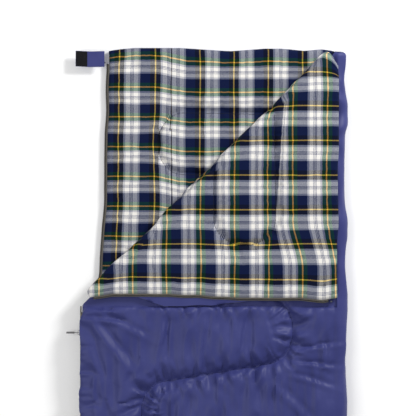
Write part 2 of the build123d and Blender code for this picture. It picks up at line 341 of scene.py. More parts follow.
@dataclass(frozen=True)
class GrainedFinish(Finish):
    """Small part's finish: two close colours and a bump in one of a few grains, on Object coordinates."""

    second: str = "#000000"
    grain: GrainKind = GrainKind.SPECKLED
    pitch_mm: float = 1.0
    depth_mm: float = 0.2

    def make(self) -> bpy.types.Material:
        """Make a small part's material.

        Returns:
            The material.
        """
        tree, shader = self.start()
        place = add_node(tree, "ShaderNodeTexCoord").outputs["Object"]
        scale = 1 / (self.pitch_mm * MM)
        if self.grain is GrainKind.WOVEN:
            pattern = add_node(tree, "ShaderNodeTexChecker", {"Vector": place, "Scale": scale})
        elif self.grain is GrainKind.HOOKS:
            pattern = add_node(tree, "ShaderNodeTexVoronoi", {"Vector": place, "Scale": scale})
        else:
            pattern = add_node(tree, "ShaderNodeTexNoise", {"Vector": place, "Scale": scale, "Detail": 3.0})
        value = pattern.outputs["Distance" if self.grain is GrainKind.HOOKS else "Fac"]
        mix = add_node(tree, "ShaderNodeMix", {
            0: value, 6: linear(self.colour), 7: linear(self.second)}, data_type="RGBA")
        tree.links.new(mix.outputs[2], shader.inputs["Base Color"])
        bump = add_node(tree, "ShaderNodeBump", {
            "Strength": 0.8, "Distance": self.depth_mm * MM, "Height": value})
        tree.links.new(bump.outputs[0], shader.inputs["Normal"])
        return bpy.data.materials[self.name]


SHELL = SatinPolyester()
LINING = TartanFlannel()
# plain-woven polyester tape: matt, with a fine basket grain
TAPE = GrainedFinish("woven_polyester_tape", "#7d7870", 0.85, specular=0.15, second="#625e57",
                     grain=GrainKind.WOVEN, pitch_mm=1.2)
# extruded nylon monofilament: smooth, slightly glossy
COIL = GrainedFinish("nylon_coil", "#26262b", 0.4, specular=0.3, second="#1b1b20", pitch_mm=4.0, depth_mm=0.05)
# die-cast zinc under baked enamel: hard gloss with a slight orange peel
ZINC = GrainedFinish("enamelled_zinc", "#6a6c70", 0.32, metallic=0.7, second="#55575b",
                     pitch_mm=2.5, depth_mm=0.05)
# moulded soft grip: matt, with a spark-eroded grain
GRIP = GrainedFinish("moulded_grip", "#7b7a7c", 0.6, second="#69686b", pitch_mm=0.8, depth_mm=0.1)
# moulded hooks on a woven ground: black and bristly
HOOKS = GrainedFinish("moulded_hook_tape", "#08080a", 0.8, specular=0.12, second="#1d1d21",
                      grain=GrainKind.HOOKS, pitch_mm=2.2, depth_mm=0.4)
# napped loops: black and furry
LOOPS = GrainedFinish("napped_loop_tape", "#111115", 0.95, sheen=0.15, specular=0.1, second="#26262d",
                      pitch_mm=1.5, depth_mm=0.6)
# spun polyester sewing thread in the shell's colour
THREAD = GrainedFinish("polyester_thread", "#1e2256", 0.7, specular=0.2, second="#1b1e4c",
                       pitch_mm=0.6, depth_mm=0.1)
# the same thread in a near black, which reads as a thin dark line on the lining: the thread and painted shade, the
# shadow of the stitch crease
LINING_THREAD_AND_CREASE_SHADE = GrainedFinish("lining_thread_and_crease_shade", "#1d1f29", 0.8, specular=0.1, second="#151720",
                              pitch_mm=0.6, depth_mm=0.1)


# ---------------------------------------------------------------- cloth tools


class SmoothNoise:
    """Seeded smooth noise in two dimensions, from -1 to 1."""

    SIZE = 64

    def __init__(self, seed: int) -> None:
        """Fill the lattice.

        Args:
            seed: number that fixes the random draws.
        """
        self.lattice = np.random.default_rng(seed).uniform(-1, 1, (self.SIZE, self.SIZE))

    def at(self, u: np.ndarray, v: np.ndarray) -> np.ndarray:
        """Read the noise.

        Args:
            u: first coordinate, one lattice cell per unit.
            v: second coordinate.
        Returns:
            Noise values of the same shape.
        """
        ui, vi = np.floor(u).astype(int), np.floor(v).astype(int)
        uf, vf = u - ui, v - vi
        uf, vf = uf * uf * (3 - 2 * uf), vf * vf * (3 - 2 * vf)
        size = self.SIZE
        corners = [[self.lattice[(ui + a) % size, (vi + b) % size] for b in (0, 1)] for a in (0, 1)]
        low = corners[0][0] * (1 - vf) + corners[0][1] * vf
        high = corners[1][0] * (1 - vf) + corners[1][1] * vf
        return low * (1 - uf) + high * uf


@dataclass
class Serpentine:
    """The one quilting line that runs to and fro across a quilt, in flat coordinates."""

    left_turn: float = -0.226
    right_turn: float = 0.258
    turn_depth: float = 0.085
    start_x: float = 0.385
    rows: tuple[tuple[float, float], ...] = (
        (0.750, -0.02), (0.555, 0.0), (0.350, 0.0), (0.160, 0.02), (-0.082, 0.17), (-0.300, -0.04),
        (-0.510, 0.05), (-0.715, 0.0))
    pitch: float = 8 * MM

    def __post_init__(self) -> None:
        """Lay the line out."""
        points: list[tuple[float, float]] = []
        for index, (level, tilt) in enumerate(self.rows):
            leftward = index % 2 == 0
            near, far = self.right_turn - self.turn_depth, self.left_turn + self.turn_depth
            begin = self.start_x if index == 0 else (near if leftward else far)
            end = far if leftward else near
            if index == len(self.rows) - 1:
                end = self.start_x
            count = max(2, int(abs(end - begin) / self.pitch))
            points += [(x, level + tilt * x) for x in np.linspace(begin, end, count)]
            if index + 1 < len(self.rows):
                after, after_tilt = self.rows[index + 1]
                y0, y1 = level + tilt * end, after + after_tilt * end
                sign = -1 if leftward else 1
                for angle in np.linspace(0, math.pi, 34)[1:-1]:
                    points.append((end + sign * self.turn_depth * math.sin(angle),
                                   (y0 + y1) / 2 + (y0 - y1) / 2 * math.cos(angle)))
        line = np.array(points)
        for _ in range(6):
            line[1:-1] = (line[:-2] + 2 * line[1:-1] + line[2:]) / 4
        self.line = line
        steps = np.linalg.norm(np.diff(line, axis=0), axis=1)
        self.along = np.concatenate([[0], np.cumsum(steps)])

    def nearest(self, u: np.ndarray, v: np.ndarray) -> tuple[np.ndarray, np.ndarray]:
        """Measure to the line.

        Args:
            u: flat coordinates across.
            v: flat coordinates along.
        Returns:
            Distance to the line, and the length along the line at the nearest point.
        """
        a, b = self.line[:-1], self.line[1:]
        run = b - a
        square = (run ** 2).sum(1)
        flat = np.column_stack([u.ravel(), v.ravel()])
        distance, length = np.empty(len(flat)), np.empty(len(flat))
        for start in range(0, len(flat), 8000):
            p = flat[start:start + 8000, None, :]
            t = np.clip(((p - a) * run).sum(2) / square, 0, 1)
            gap = np.linalg.norm(p - (a + t[..., None] * run), axis=2)
            best = gap.argmin(1)
            row = np.arange(len(best))
            distance[start:start + 8000] = gap[row, best]
            length[start:start + 8000] = self.along[best] + t[row, best] * np.sqrt(square[best])
        return distance.reshape(u.shape), length.reshape(u.shape)


QUILTING = Serpentine()


@dataclass(frozen=True)
class Crease:
    """A fold pressed or pulled into the cloth: a valley with a ridge beside it."""

    start: tuple[float, float]
    end: tuple[float, float]
    width: float
    depth: float

    def height(self, x: np.ndarray, y: np.ndarray) -> np.ndarray:
        """Height that the crease adds.

        Args:
            x: positions across.
            y: positions along.
        Returns:
            Height at each point.
        """
        ax, ay = self.start
        rx, ry = self.end[0] - ax, self.end[1] - ay
        size = math.hypot(rx, ry)
        t = np.clip(((x - ax) * rx + (y - ay) * ry) / size ** 2, 0, 1)
        side = ((x - ax) * ry - (y - ay) * rx) / size
        off = np.hypot(x - ax - t * rx, y - ay - t * ry)
        fade = np.sin(math.pi * np.clip(t * 0.94 + 0.03, 0, 1)) ** 0.6
        valley = np.exp(-(off / self.width) ** 2)
        ridge = np.exp(-((side - 1.6 * self.width) / self.width) ** 2)
        ridge = ridge * np.exp(-np.clip(off / self.width - 3, 0, None))
        return self.depth * fade * (0.7 * ridge - valley)


class SheetGrid:
    """A square grid over one quilt in flat coordinates, with cells split along the diagonal fold."""

    def __init__(self, step: float, u_range: tuple[float, float], v_range: tuple[float, float],
                 keep: Callable[[float, float], bool]) -> None:
        """Lay the grid so that the fold line passes through its points.

        Args:
            step: spacing of the grid.
            u_range: first and last coordinate across.
            v_range: first and last coordinate along.
            keep: says if the cloth covers a point, given the middle of a triangle.
        """
        first = math.floor(u_range[0] / step)
        last = math.ceil(u_range[1] / step)
        low = math.floor((v_range[0] - FOLD_OFFSET) / step)
        high = math.ceil((v_range[1] - FOLD_OFFSET) / step)
        self.step = step
        us = np.clip(np.arange(first, last + 1) * step, *u_range)
        vs = np.clip(np.arange(low, high + 1) * step + FOLD_OFFSET, *v_range)
        self.u, self.v = np.meshgrid(us, vs)
        self.rows, self.columns = self.u.shape
        self.faces: list[tuple[int, ...]] = []
        third = step / 3
        for r in range(self.rows - 1):
            for c in range(self.columns - 1):
                a = r * self.columns + c
                u, v = first * step + c * step, low * step + FOLD_OFFSET + r * step
                lower = keep(u + 2 * third, v + third)
                upper = keep(u + third, v + 2 * third)
                if lower and upper:
                    self.faces.append((a, a + 1, a + self.columns + 1, a + self.columns))
                elif lower:
                    self.faces.append((a, a + 1, a + self.columns + 1))
                elif upper:
                    self.faces.append((a, a + self.columns + 1, a + self.columns))

    def spread(self, coarse: np.ndarray) -> np.ndarray:
        """Interpolate values from a grid that is SIM_RATIO times coarser.

        Args:
            coarse: rows by columns by 3 values.
        Returns:
            Values on this grid.
        """
        rows = np.clip(np.arange(self.rows) / SIM_RATIO, 0, coarse.shape[0] - 1.001)
        columns = np.clip(np.arange(self.columns) / SIM_RATIO, 0, coarse.shape[1] - 1.001)
        r, c = rows.astype(int), columns.astype(int)
        fr, fc = (rows - r)[:, None, None], (columns - c)[None, :, None]
        low = coarse[r][:, c] * (1 - fc) + coarse[r][:, c + 1] * fc
        high = coarse[r + 1][:, c] * (1 - fc) + coarse[r + 1][:, c + 1] * fc
        return low * (1 - fr) + high * fr


@dataclass
class ClothRelaxer:
    """Cloth simulation of one quilted sheet, held at its stitches and edges and blown up from below."""

    pressure: float = 4.0
    slack: float = 0.035          # spare cloth between the stitches
    bending: float = 0.3
    quality: int = 5
    frames: int = 20
    side_cap: float = 5 * MM
    lift_cap: float = 7 * MM
    sink_cap: float = 4 * MM

    def relax(self, place: np.ndarray, held: np.ndarray) -> np.ndarray:
        """Simulate the sheet.

        Args:
            place: rows by columns by 3 start positions.
            held: rows by columns, True where the cloth is stitched down.
        Returns:
            Displacement of each point, capped.
        """
        coarse = place[::SIM_RATIO, ::SIM_RATIO]
        pins = held[::SIM_RATIO, ::SIM_RATIO]
        rows, columns = pins.shape
        start = coarse.reshape(-1, 3)
        index = np.arange(rows * columns).reshape(rows, columns)
        faces = np.stack([index[:-1, :-1], index[:-1, 1:], index[1:, 1:], index[1:, :-1]], -1).reshape(-1, 4)
        mesh = bpy.data.meshes.new("relaxing")
        mesh.from_pydata(start.tolist(), [], faces.tolist())
        body = put_in_scene("relaxing", mesh)
        group = body.vertex_groups.new(name="held")
        group.add(index[pins].tolist(), 1.0, "REPLACE")
        cloth = body.modifiers.new("cloth", "CLOTH")
        settings = cloth.settings
        settings.vertex_group_mass = "held"
        settings.use_pressure = True
        settings.uniform_pressure_force = self.pressure
        settings.shrink_min = -self.slack
        settings.bending_stiffness = self.bending
        settings.quality = self.quality
        settings.effector_weights.gravity = 0.0
        cloth.collision_settings.use_collision = False
        cloth.point_cache.frame_start = 1
        cloth.point_cache.frame_end = self.frames
        scene = bpy.context.scene
        for number in range(1, self.frames + 1):
            scene.frame_set(number)
        shaped = body.evaluated_get(bpy.context.evaluated_depsgraph_get())
        end = np.array([v.co for v in shaped.data.vertices], float)
        bpy.data.objects.remove(body)
        bpy.data.meshes.remove(mesh)
        scene.frame_set(1)
        moved = end - start
        moved[:, :2] = np.clip(moved[:, :2], -self.side_cap, self.side_cap)
        moved[:, 2] = np.clip(moved[:, 2], -self.sink_cap, self.lift_cap)
        return moved.reshape(coarse.shape)


def put_in_scene(name: str, data: bpy.types.ID) -> bpy.types.Object:
    """Make an object of a mesh, light or camera and link it to the scene.

    Args:
        name: object's name.
        data: mesh, light or camera.
    Returns:
        The new object.
    """
    piece = bpy.data.objects.new(name, data)
    bpy.context.scene.collection.objects.link(piece)
    return piece


def rounded_edge(inside: np.ndarray, radius: float) -> np.ndarray:
    """Share of the full loft at a distance inside a sewn edge, as a quarter round."""
    t = np.clip(inside / radius, 0, 1)
    return np.sqrt(1 - (1 - t) ** 2)


@dataclass
class RollGrid:
    """A plain grid of squares: rows along the fold, columns round it."""

    rows: int
    columns: int

    def __post_init__(self) -> None:
        """Join the points into faces."""
        width = self.columns
        corners = [r * width + c for r in range(self.rows - 1) for c in range(width - 1)]
        self.faces = [(a + 1, a + width + 1, a + width, a) for a in corners]


def build_pad(name: str, grid: SheetGrid | RollGrid, upper: np.ndarray, lower: np.ndarray, flat: np.ndarray,
              finishes: tuple[str, str]) -> bpy.types.Object:
    """Close two sheets on one grid into a padded piece.

    Args:
        name: piece's name.
        grid: grid with its faces.
        upper: positions of the upper sheet.
        lower: positions of the lower sheet.
        flat: flat coordinates in metres, which the cloth's pattern follows.
        finishes: names of the upper and lower sheets' materials.
    Returns:
        The new object.
    """
    count = grid.rows * grid.columns
    used = np.zeros(count, bool)
    for face in grid.faces:
        used[list(face)] = True
    fresh = np.cumsum(used) - 1
    kept = int(used.sum())
    points = np.concatenate([upper.reshape(-1, 3)[used], lower.reshape(-1, 3)[used]])
    above = [tuple(int(fresh[i]) for i in face) for face in grid.faces]
    below = [tuple(i + kept for i in reversed(face)) for face in above]
    edges: dict[tuple[int, int], int] = {}
    for face in above:
        for a, b in zip(face, face[1:] + face[:1]):
            edges[(a, b)] = 1
    rim = [(a, b) for a, b in edges if (b, a) not in edges]
    walls = [(b, a, a + kept, b + kept) for a, b in rim]
    mesh = bpy.data.meshes.new(name)
    mesh.from_pydata(points.tolist(), [], above + below + walls)
    for finish in finishes:
        mesh.materials.append(bpy.data.materials[finish])
    indices = np.zeros(len(mesh.polygons), np.int32)
    indices[len(above):] = 1
    mesh.polygons.foreach_set("material_index", indices)
    coordinates = np.concatenate([flat.reshape(-1, 2)[used]] * 2)
    corner = np.zeros(len(mesh.loops), np.int32)
    mesh.loops.foreach_get("vertex_index", corner)
    layer = mesh.uv_layers.new(name="flat_cloth")
    layer.data.foreach_set("uv", coordinates[corner].ravel())
    shape = bmesh.new()
    shape.from_mesh(mesh)
    bmesh.ops.remove_doubles(shape, verts=shape.verts, dist=0.02 * MM)
    bmesh.ops.dissolve_degenerate(shape, dist=0.01 * MM, edges=shape.edges)
    for face in shape.faces:
        face.smooth = True
    for edge in shape.edges:
        edge.smooth = edge.calc_face_angle(0.0) < SEAM_ANGLE
    shape.to_mesh(mesh)
    shape.free()
    return put_in_scene(name, mesh)


class PathRepeater:
    """Geometry Nodes that set one small rounded bead after another along a path, as stitches or coil teeth."""

    def __init__(self) -> None:
        """Build the node tree with its named inputs."""
        tree = bpy.data.node_groups.new("beads_along_path", "GeometryNodeTree")
        face = tree.interface
        face.new_socket("Geometry", in_out="INPUT", socket_type="NodeSocketGeometry")
        self.ids = {}
        for name in ("Pitch", "Along", "Across", "Height"):
            self.ids[name] = face.new_socket(name, in_out="INPUT", socket_type="NodeSocketFloat").identifier
        self.ids["Material"] = face.new_socket(
            "Material", in_out="INPUT", socket_type="NodeSocketMaterial").identifier
        face.new_socket("Geometry", in_out="OUTPUT", socket_type="NodeSocketGeometry")
        given = add_node(tree, "NodeGroupInput").outputs
        curve = add_node(tree, "GeometryNodeMeshToCurve", {"Mesh": given["Geometry"]})
        points = add_node(tree, "GeometryNodeCurveToPoints", {
            "Curve": curve.outputs[0], "Length": given["Pitch"]}, mode="LENGTH")
        facing = add_node(tree, "FunctionNodeAlignRotationToVector", {"Vector": points.outputs["Tangent"]},
                          axis="X", pivot_axis="Z")
        bead = add_node(tree, "GeometryNodeMeshUVSphere", {"Segments": 6, "Rings": 4, "Radius": 0.5})
        size = add_node(tree, "ShaderNodeCombineXYZ", {
            "X": given["Along"], "Y": given["Across"], "Z": given["Height"]})
        placed = add_node(tree, "GeometryNodeInstanceOnPoints", {
            "Points": points.outputs["Points"], "Instance": bead.outputs["Mesh"],
            "Rotation": facing.outputs[0], "Scale": size.outputs[0]})
        real = add_node(tree, "GeometryNodeRealizeInstances", {0: placed.outputs[0]})
        dressed = add_node(tree, "GeometryNodeSetMaterial", {
            "Geometry": real.outputs[0], "Material": given["Material"]})
        smooth = add_node(tree, "GeometryNodeSetShadeSmooth", {"Geometry": dressed.outputs[0]})
        add_node(tree, "NodeGroupOutput", {0: smooth.outputs[0]})
        self.tree = tree

    def run(self, name: str, paths: Iterable[np.ndarray], pitch: float, size: tuple[float, float, float],
            finish: str) -> bpy.types.Object:
        """Repeat the bead along paths and return a plain mesh.

        Args:
            name: piece's name.
            paths: each an array of points.
            pitch: distance from bead to bead.
            size: bead along the path, across it and upwards.
            finish: material's name.
        Returns:
            The new object.
        """
        points, edges = [], []
        for path in paths:
            edges += [(len(points) + i, len(points) + i + 1) for i in range(len(path) - 1)]
            points += [tuple(p) for p in path]
        wire = bpy.data.meshes.new(name + "_path")
        wire.from_pydata(points, edges, [])
        carrier = put_in_scene(name + "_path", wire)
        nodes = carrier.modifiers.new("beads", "NODES")
        nodes.node_group = self.tree
        values = (pitch, *size, bpy.data.materials[finish])
        for key, value in zip(("Pitch", "Along", "Across", "Height", "Material"), values):
            nodes[self.ids[key]] = value
        graph = bpy.context.evaluated_depsgraph_get()
        mesh = bpy.data.meshes.new_from_object(carrier.evaluated_get(graph))
        mesh.name = name
        bpy.data.objects.remove(carrier)
        bpy.data.meshes.remove(wire)
        return put_in_scene(name, mesh)


def build_ribbon(name: str, inner: np.ndarray, outer: np.ndarray, thickness: float, finish: str,
                 lanes: int = 3) -> bpy.types.Object:
    """Make a flat tape between two edge lines.

    Args:
        name: piece's name.
        inner: points of one edge.
        outer: points of the other edge.
        thickness: tape's thickness, downwards.
        finish: material's name.
        lanes: strips across the tape.
    Returns:
        The new object.
    """
    count = len(inner)
    points, faces = [], []
    for drop in (0.0, thickness):
        for k in range(lanes + 1):
            share = k / lanes
            line = inner * (1 - share) + outer * share - np.array([0, 0, drop])
            points += line.tolist()
    layer = count * (lanes + 1)
    for k in range(lanes):
        for i in range(count - 1):
            a = k * count + i
            faces.append((a, a + 1, a + count + 1, a + count))
            faces.append(tuple(layer + n for n in (a + count, a + count + 1, a + 1, a)))
    for i in range(count - 1):
        far = lanes * count + i
        faces.append((i, i + layer, i + 1 + layer, i + 1))
        faces.append((far + 1, far + 1 + layer, far + layer, far))
    for k in range(lanes):
        a, b = k * count, k * count + count - 1
        faces.append((a, a + count, a + count + layer, a + layer))
        faces.append((b, b + layer, b + count + layer, b + count))
    mesh = bpy.data.meshes.new(name)
    mesh.from_pydata(points, [], faces)
    mesh.materials.append(bpy.data.materials[finish])
    run = np.concatenate([[0], np.cumsum(np.linalg.norm(np.diff(inner, axis=0), axis=1))])
    width = float(np.linalg.norm(outer[0] - inner[0]))
    flat = [(r, width * k / lanes) for _ in range(2) for k in range(lanes + 1) for r in run]
    layer_map = mesh.uv_layers.new(name="flat_cloth")
    for loop in mesh.loops:
        layer_map.data[loop.index].uv = flat[loop.vertex_index]
    shape = bmesh.new()
    shape.from_mesh(mesh)
    bmesh.ops.recalc_face_normals(shape, faces=shape.faces)
    for face in shape.faces:
        face.smooth = True
    shape.to_mesh(mesh)
    shape.free()
    return put_in_scene(name, mesh)


# ---------------------------------------------------------------- the bag


@dataclass(frozen=True)
class QuiltLook:
    """How a quilt's cloth puffs and puckers about its stitching."""

    seed: int
    stitch_depth: float = 0.8        # share of the half loft that a stitch pulls in
    stitch_width: float = 11 * MM
    puff: float = 4.5 * MM           # batting swells this far between the stitches
    puff_reach: float = 40 * MM
    pucker: float = 1.3 * MM
    pucker_pitch: float = 11 * MM
    drape: float = 1.6 * MM
    drape_pitch: float = 26 * MM
    pucker_reach: float = 60 * MM
    gather_start: float = 7 * MM     # gathers reach their full height this far from the stitches
    ripple: float = 1.6 * MM
    edge_radius: float = RIM_RADIUS

    def height(self, u: np.ndarray, v: np.ndarray, inside: np.ndarray) -> np.ndarray:
        """Height of the sheet over the quilt's middle.

        Args:
            u: flat coordinate across.
            v: flat coordinate along.
            inside: distance to the nearest sewn edge.
        Returns:
            Heights, from 0 at a sewn edge to somewhat over half the loft.
        """
        away, along = QUILTING.nearest(u, v)
        noise = SmoothNoise(self.seed)
        dip = self.stitch_depth * np.exp(-away / self.stitch_width)
        full = HALF_LOFT * (1 - dip) + self.puff * (1 - np.exp(-away / self.puff_reach))
        near = np.clip(away / self.gather_start, 0.25, 1)
        # gathers lean and run together as they leave the stitching
        lean = along + 0.35 * away * noise.at(along / (70 * MM) + 40, away * 0)
        fine = noise.at(lean / self.pucker_pitch, away / (110 * MM) + 7)
        fine += 0.5 * noise.at(lean / self.pucker_pitch * 1.7 + 20, away / (70 * MM))
        folds = 1 - 2.2 * np.abs(noise.at(lean / self.drape_pitch + 9, away / (130 * MM) + 21))
        # halfway between two rows of stitches the gathers of both run straight on into one another
        middle = smooth_step((away - 40 * MM) / (45 * MM))
        straight = noise.at(u / self.pucker_pitch + 3, v / (110 * MM))
        straight_folds = 1 - 2.2 * np.abs(noise.at(u / self.drape_pitch + 50, v / (130 * MM)))
        fine = fine * (1 - middle) + 1.4 * straight * middle
        folds = folds * (1 - middle) + straight_folds * middle
        gather = self.pucker * fine * np.exp(-away / self.pucker_reach)
        gather += self.drape * folds * np.exp(-away / (1.3 * self.pucker_reach))
        rim = np.exp(-inside / (28 * MM)) * noise.at((u + v) / (17 * MM) + 11, (u - v) / (17 * MM) + 3)
        broad = noise.at(u / (70 * MM) + 31, v / (95 * MM) + 5)
        broad = broad + 0.5 * noise.at(u / (33 * MM), v / (41 * MM) + 17)
        surface = full + near * gather + 1.3 * MM * rim + self.ripple * broad
        return surface * rounded_edge(inside, self.edge_radius)


@dataclass(frozen=True)
class CheckPlacement:
    """Where the check falls on one panel: it is scaled and shifted along each axis."""

    across_scale: float
    across_shift: float
    along_scale: float
    along_shift: float

    def place(self, across: np.ndarray, along: np.ndarray) -> np.ndarray:
        """Pattern coordinates in metres for cloth coordinates."""
        return np.stack([self.across_scale * across + self.across_shift,
                         self.along_scale * along + self.along_shift], -1)


LEFT_PANEL = CheckPlacement(1.0, 1.0 * MM, 1.0, -14.8 * MM)
RIGHT_PANEL = CheckPlacement(1.045, 88.7 * MM, 1.0, 1.2 * MM)
# the flap's cloth is turned a quarter, so its warp runs down the bag's length
FLAP_PANEL = CheckPlacement(-1.045, 48.2 * MM, 0.885, -8.0 * MM)


def pressed(level: np.ndarray, start: float, spare: float) -> np.ndarray:
    """Press heights above a start level softly into the room that is left above it.

    Args:
        level: heights.
        start: height up to which nothing changes.
        spare: room above it.
    Returns:
        New heights, all below start + spare.
    """
    return np.where(level > start, start + spare * np.tanh((level - start) / spare), level)


def round_flap_tip(x: np.ndarray, y: np.ndarray) -> np.ndarray:
    """Round off the head tip of the flap and of its fold, where the quilt curls over.

    Args:
        x: positions across.
        y: positions along.
    Returns:
        New positions along.
    """
    start_x, start_y, flattening = 0.335, 0.850, 0.80
    across = np.clip((x - start_x) / (FLAP_HIGH.x - start_x), 0, 1)
    squash = np.sqrt(1 - flattening * across ** 2)
    return np.where(y > start_y, start_y + (y - start_y) * squash, y)


def set_back(sheet: np.ndarray, from_fold: np.ndarray) -> None:
    """Draw a sheet's folded edge back a little, so that both quilts clear one another when closed.

    Args:
        sheet: positions, changed in place.
        from_fold: distance of each point to the fold.
    """
    reach = 30 * MM
    shift = FOLD_BACKSET * smooth_step(1 - from_fold / reach) / math.sqrt(2)
    sheet[..., 0] += shift
    sheet[..., 1] -= shift


def swallow_at_stitches(flat: np.ndarray, away: np.ndarray, step: float) -> np.ndarray:
    """Shift the check beside the quilting line, where the stitches take cloth down into the batting.

    Args:
        flat: pattern coordinates.
        away: distance to the quilting line.
        step: spacing of the grid.
    Returns:
        New pattern coordinates.
    """
    taken, reach, start = 7 * MM, 26 * MM, 9 * MM
    along_v, along_u = np.gradient(away, step)
    # each pattern axis moves with the sheet axis that it follows
    steep_v, steep_u = np.gradient(flat, step, axis=(0, 1))
    pull = -taken * np.exp(-away / reach) * np.clip(away / start, 0, 1)
    turn_u, turn_v = np.round(np.median(steep_u, axis=(0, 1))), np.round(np.median(steep_v, axis=(0, 1)))
    return flat + (pull * along_u)[..., None] * turn_u + (pull * along_v)[..., None] * turn_v


def take_up_tuck(flat: np.ndarray, x: np.ndarray, y: np.ndarray) -> None:
    """Let a tuck along the quilting line take up part of the flap's check beside the fold.

    Args:
        flat: pattern coordinates, changed in place.
        x: positions across.
        y: positions along.
    """
    tuck_x, tuck_y, slope = 0.191, 0.356, 0.096
    taken, width, start, reach = 27 * MM, 14 * MM, 0.25, 0.16
    past = x - (tuck_x + slope * (y - tuck_y))
    flat[..., 1] += taken * smooth_step((y - start) / reach) * smooth_step(past / width + 0.5)


def smooth_step(value: np.ndarray) -> np.ndarray:
    """Ease from 0 to 1 over the unit interval."""
    t = np.clip(value, 0, 1)
    return t * t * (3 - 2 * t)


def base_left_edge(v: np.ndarray) -> np.ndarray:
    """Zipped edge of the base quilt, which draws in towards the head where its zip is open.

    Args:
        v: flat coordinates along.
    Returns:
        Position of the edge across.
    """
    tape_low, tape_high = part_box("base_zip_tape_head")
    straight = TOP_LOW.x
    lead, bend_y, bend_in = 90 * MM, 0.5, 21 * MM      # where the edge begins to draw in, and its bend
    blur, wave_length, wave_height = 0.05, 75 * MM, 2.2 * MM
    levels = [BASE_LOW.y, tape_low.y - lead, tape_low.y, bend_y, tape_high.y, BASE_HIGH.y]
    edges = [straight, straight, tape_low.x + TAPE_WIDTH, tape_low.x + TAPE_WIDTH + bend_in,
             tape_high.x, tape_high.x]
    samples = np.stack([np.interp(v + shift, levels, edges) for shift in np.linspace(-blur, blur, 11)])
    wave = SmoothNoise(61).at(v / wave_length, v * 0)
    drawn = np.clip((v - tape_low.y + lead) / 0.1, 0, 1)
    return samples.mean(0) + wave_height * wave * drawn


@dataclass
class BaseQuilt:
    """The quilt that the sleeper lies on, with its tartan lining up."""

    look: QuiltLook = QuiltLook(
        seed=3, puff=5 * MM, pucker=1.2 * MM, pucker_pitch=14 * MM, drape=1.8 * MM, ripple=1.5 * MM,
        stitch_depth=1.0, stitch_width=12 * MM)
    edge: np.ndarray = field(init=False, repr=False)      # zipped edge, upper sheet and grid, once built
    upper: np.ndarray = field(init=False, repr=False)
    grid: SheetGrid = field(init=False, repr=False)
    # wavy head edge: position across, and millimetres that the edge stands out
    head_wave: tuple[tuple[float, float], ...] = (
        (-0.42, -5), (-0.339, -5), (-0.295, 2), (-0.247, 6), (-0.103, 6), (0.034, -3), (0.06, -4),
        (0.168, 4), (0.223, 4), (0.293, -3), (0.348, 2), (0.383, -3), (0.392, -6))

    def build(self) -> bpy.types.Object:
        """Build the quilt.

        Returns:
            The finished piece.
        """
        left_flat = -SIDE_X - 10 * MM
        grid = SheetGrid(BASE_STEP, (left_flat, SIDE_X), (BASE_LOW.y, BASE_HIGH.y), lambda u, v: True)
        u, v = grid.u, grid.v
        left = base_left_edge(v)
        share = (u - left_flat) / (SIDE_X - left_flat)
        x = left + share * (SIDE_X - left)
        places, sizes = zip(*self.head_wave)
        y = v + np.interp(x, places, np.array(sizes) * MM) * smooth_step((v - 0.86) / 0.09)
        from_left, from_head, from_foot = x - left, BASE_HIGH.y - v, v - BASE_LOW.y
        inside = np.minimum(np.minimum(from_left, from_head), from_foot)
        height = self.look.height(u, v, inside)
        seam = np.exp(-np.abs(x - JOIN_SEAM_X) / (5 * MM)) * rounded_edge(inside, RIM_RADIUS)
        start = np.stack([x, y, BASE_MID + height - 1.4 * MM * seam], -1)
        away, _ = QUILTING.nearest(u, v)
        held = (away < 7 * MM) | (inside < RIM_HELD) | (u > SIDE_X - 8 * MM)
        moved = grid.spread(ClothRelaxer().relax(start, held))
        calm = np.clip(inside / RIM_HELD, 0, 1) * np.clip(away / (8 * MM), 0, 1) * (1 - 0.7 * seam)
        upper = start + moved * calm[..., None]
        upper[..., 2] = pressed(upper[..., 2], LINING_TOP - 1 * MM, LINING_SPARE)
        # the strap's hook patch presses the corner flat where it is turned in
        tab_low, tab_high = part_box("tab_strap")
        reach = 2 * tab_high.x - tab_low.x
        patch = smooth_step((reach + 25 * MM - x) / (20 * MM)) * smooth_step((y - tab_low.y + 20 * MM) / (15 * MM))
        flattened = pressed(upper[..., 2], BASE_MID + 0.7 * HALF_LOFT, 0.2 * HALF_LOFT)
        upper[..., 2] = upper[..., 2] * (1 - patch) + flattened * patch
        lower = np.stack([x, y, BASE_MID - HALF_LOFT * rounded_edge(inside, RIM_RADIUS)], -1)
        lift = 3.5 * MM * np.exp(-(away / (9 * MM)) ** 2) * np.clip(inside / (20 * MM), 0, 1)
        lower[..., 2] = np.maximum(lower[..., 2] + lift, BASE_LOW.z)
        rim = 5 * MM
        lower[..., 0] -= rim * np.sin(math.pi * np.clip(from_left / (24 * MM), 0, 1)) * 0.5
        lower[..., 1] += 1.6 * rim * np.sin(math.pi * np.clip(from_head / (24 * MM), 0, 1))
        drawn = 0.5 * (left - base_left_edge(np.full_like(v, BASE_HIGH.y))) * (1 - share)
        left_check, right_check = LEFT_PANEL.place(x - drawn, v), RIGHT_PANEL.place(x, v)
        flat = np.where((x < JOIN_SEAM_X)[..., None], left_check, right_check)
        # gathering at the seam eases the stripes down from the left panel to the right one
        ease = smooth_step((x - JOIN_SEAM_X + 60 * MM) / (120 * MM))
        flat[..., 1] = v + LEFT_PANEL.along_shift + ease * (RIGHT_PANEL.along_shift - LEFT_PANEL.along_shift)
        flat = swallow_at_stitches(flat, away, grid.step)
        piece = build_pad("base_quilt", grid, upper, lower, flat, (LINING.name, SHELL.name))
        self.edge = np.stack([left[:, 0], y[:, 0], np.full(grid.rows, BASE_MID)], -1)
        self.upper, self.grid = upper, grid
        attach(piece, "root")
        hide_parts("base_shell", "base_batting", "base_lining_left", "base_lining_right")
        return piece


